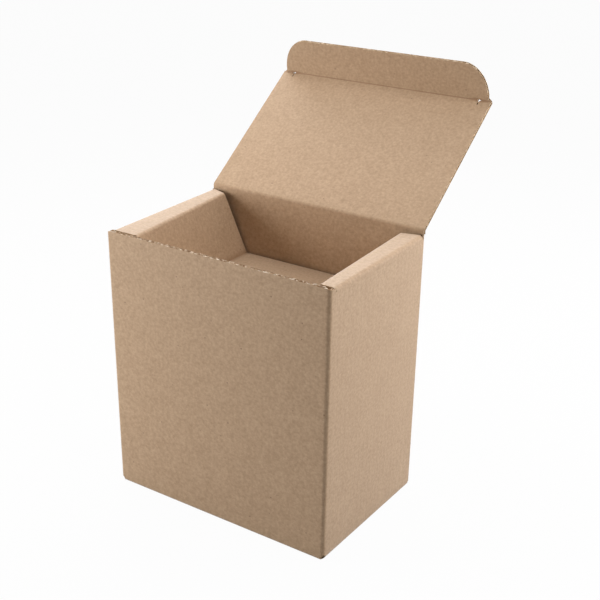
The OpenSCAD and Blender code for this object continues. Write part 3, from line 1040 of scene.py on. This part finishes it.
view = {
    "place": (276.222, -387.632, 300.407),     # mm
    "right": (0.83003, 0.55756, 0.01309),
    "up": (-0.22826, 0.31821, 0.92013),
    "back": (0.50887, -0.76672, 0.3914),
    "lens": 67.07,
    "sensor": 36.0,
    "near": 10.0,              # mm, where the view begins
}
studio = {
    "paper": "#BCBCBC",
    "white": 0.97,             # how white floor and backdrop look; the rest of the floor shows the shadow
    "reach": 12000.0,          # half the floor's width, mm, so far that its edge meets the backdrop unseen
    "drop": 0.4,               # it lies this much under the box
    "aim": (0, 0, 80),
    "lampSize": 260,
    "lamps": {                 # soft boxes round the box: place in mm, and watts
        "overhead": ((0, 0, 640), 0.3),
        "overheadLeft": ((-195, 30, 565), 0.78),
        "right": ((400, 0, 400), 1.04),
        "backRight": ((360, 360, 198), 1.95),
        "back": ((0, 386, 438), 1.12),
        "backLeft": ((-273, 273, 438), 1.5),
        "frontLeft": ((-345, -315, 190), 2.1),
    },
}


def addCamera():
    data = bpy.data.cameras.new("camera")
    data.lens = view["lens"]
    data.sensor_width = view["sensor"]
    data.clip_start = view["near"] * mm
    camera = bpy.data.objects.new("camera", data)
    columns = Matrix((view["right"], view["up"], view["back"])).transposed().to_4x4()
    camera.matrix_world = Matrix.Translation(Vector(view["place"]) * mm) @ columns
    bpy.context.scene.collection.objects.link(camera)
    bpy.context.scene.camera = camera


def eyeWhite(tree):
    # the share of plain white for what the camera, a gloss or a clear material sees, and 0 for other light
    rays = addNode(tree, "ShaderNodeLightPath").outputs
    seen = rays["Is Camera Ray"]
    for other in ("Is Glossy Ray", "Is Transmission Ray"):
        seen = addNode(tree, "ShaderNodeMath", {"operation": "MAXIMUM"}, {0: seen, 1: rays[other]})
    return addNode(tree, "ShaderNodeMath", {"operation": "MULTIPLY", 1: studio["white"]}, {0: seen})


def addStudio():
    white = linear("#FFFFFF")
    world = bpy.data.worlds.new("studio")
    bpy.context.scene.world = world
    world.use_nodes = True
    tree = world.node_tree
    tree.nodes.clear()
    backdrop = addNode(tree, "ShaderNodeBackground", {"Color": white}, {"Strength": eyeWhite(tree)})
    addNode(tree, "ShaderNodeOutputWorld", links={0: backdrop})

    for name, (place, watts) in studio["lamps"].items():
        data = bpy.data.lights.new(name, "AREA")
        data.size = studio["lampSize"] * mm
        data.energy = watts
        lamp = bpy.data.objects.new(name, data)
        away = Vector(place) - Vector(studio["aim"])
        turn = away.to_track_quat("Z", "Y").to_matrix().to_4x4()
        lamp.matrix_world = Matrix.Translation(Vector(place) * mm) @ turn
        lamp.visible_camera = False
        bpy.context.scene.collection.objects.link(lamp)

    corners = [(-1, -1), (1, -1), (1, 1), (-1, 1)]
    reach = studio["reach"] * mm
    mesh = bpy.data.meshes.new("floor")
    mesh.from_pydata([(x * reach, y * reach, -studio["drop"] * mm) for x, y in corners], [], [(0, 1, 2, 3)])
    floor = bpy.data.objects.new("floor", mesh)
    bpy.context.scene.collection.objects.link(floor)
    # studio paper: plain matt grey that takes the shadow, seen as nearly white
    material = newMaterial("studioPaper")
    tree = material.node_tree
    paper = addNode(tree, "ShaderNodeBsdfDiffuse", {"Color": linear(studio["paper"])})
    glow = addNode(tree, "ShaderNodeEmission", {"Color": white, "Strength": 1.0})
    mixed = addNode(tree, "ShaderNodeMixShader", links={0: eyeWhite(tree), 1: paper, 2: glow})
    addNode(tree, "ShaderNodeOutputMaterial", links={0: mixed})
    mesh.materials.append(material)


# Build

addCamera()
addStudio()
bpy.context.scene.view_settings.view_transform = "Standard"
print("camera and studio ready")

linerBody = kraftLiner("kraftLinerBody")
linerLid = kraftLiner("kraftLinerLid")
linerFlap = kraftLiner("kraftLinerFlap")
rawEdge = kraftEdge("kraftCutEdge", 0.0)
flapEdge = kraftEdge("kraftFlapEdge", 0.5)         # the flap was cut cleanly

boxBoard = boxSheet()
flapBoard = flapPanel()
boxPiece = sheetPiece("box_sheet", boxBoard, [linerBody, rawEdge])
lidPiece = sheetPiece("lid_sheet", lidPanel(), [linerLid, rawEdge])
flapPiece = sheetPiece("tuck_flap_sheet", flapBoard, [linerFlap, flapEdge])
hingePiece = sheetPiece("lid_crease_sheet", lidCrease(), [linerLid, rawEdge])
tuckPiece = sheetPiece("tuck_crease_sheet", tuckCrease(), [linerFlap, rawEdge])
sheets = (boxPiece, lidPiece, flapPiece, hingePiece, tuckPiece)
print("sheets folded:", [len(piece.data.polygons) for piece in sheets], "faces")

boxMedium = mediumPiece("box_medium", boxBoard, rawEdge)
flapMedium = mediumPiece("tuck_flap_medium", flapBoard, flapEdge)

for piece, body, slot in (
    (boxPiece, "box", "kraft_body"), (boxMedium, "box", "kraft_body"),
    (lidPiece, "lid", "kraft_lid"),
    (flapPiece, "tuck_flap", "kraft_flap"), (flapMedium, "tuck_flap", "kraft_flap"),
):
    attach(piece, body)
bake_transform(hingePiece)
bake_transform(tuckPiece)
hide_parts("box_body")
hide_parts("lid")
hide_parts("tuck_flap")
print("pieces placed on their bodies")
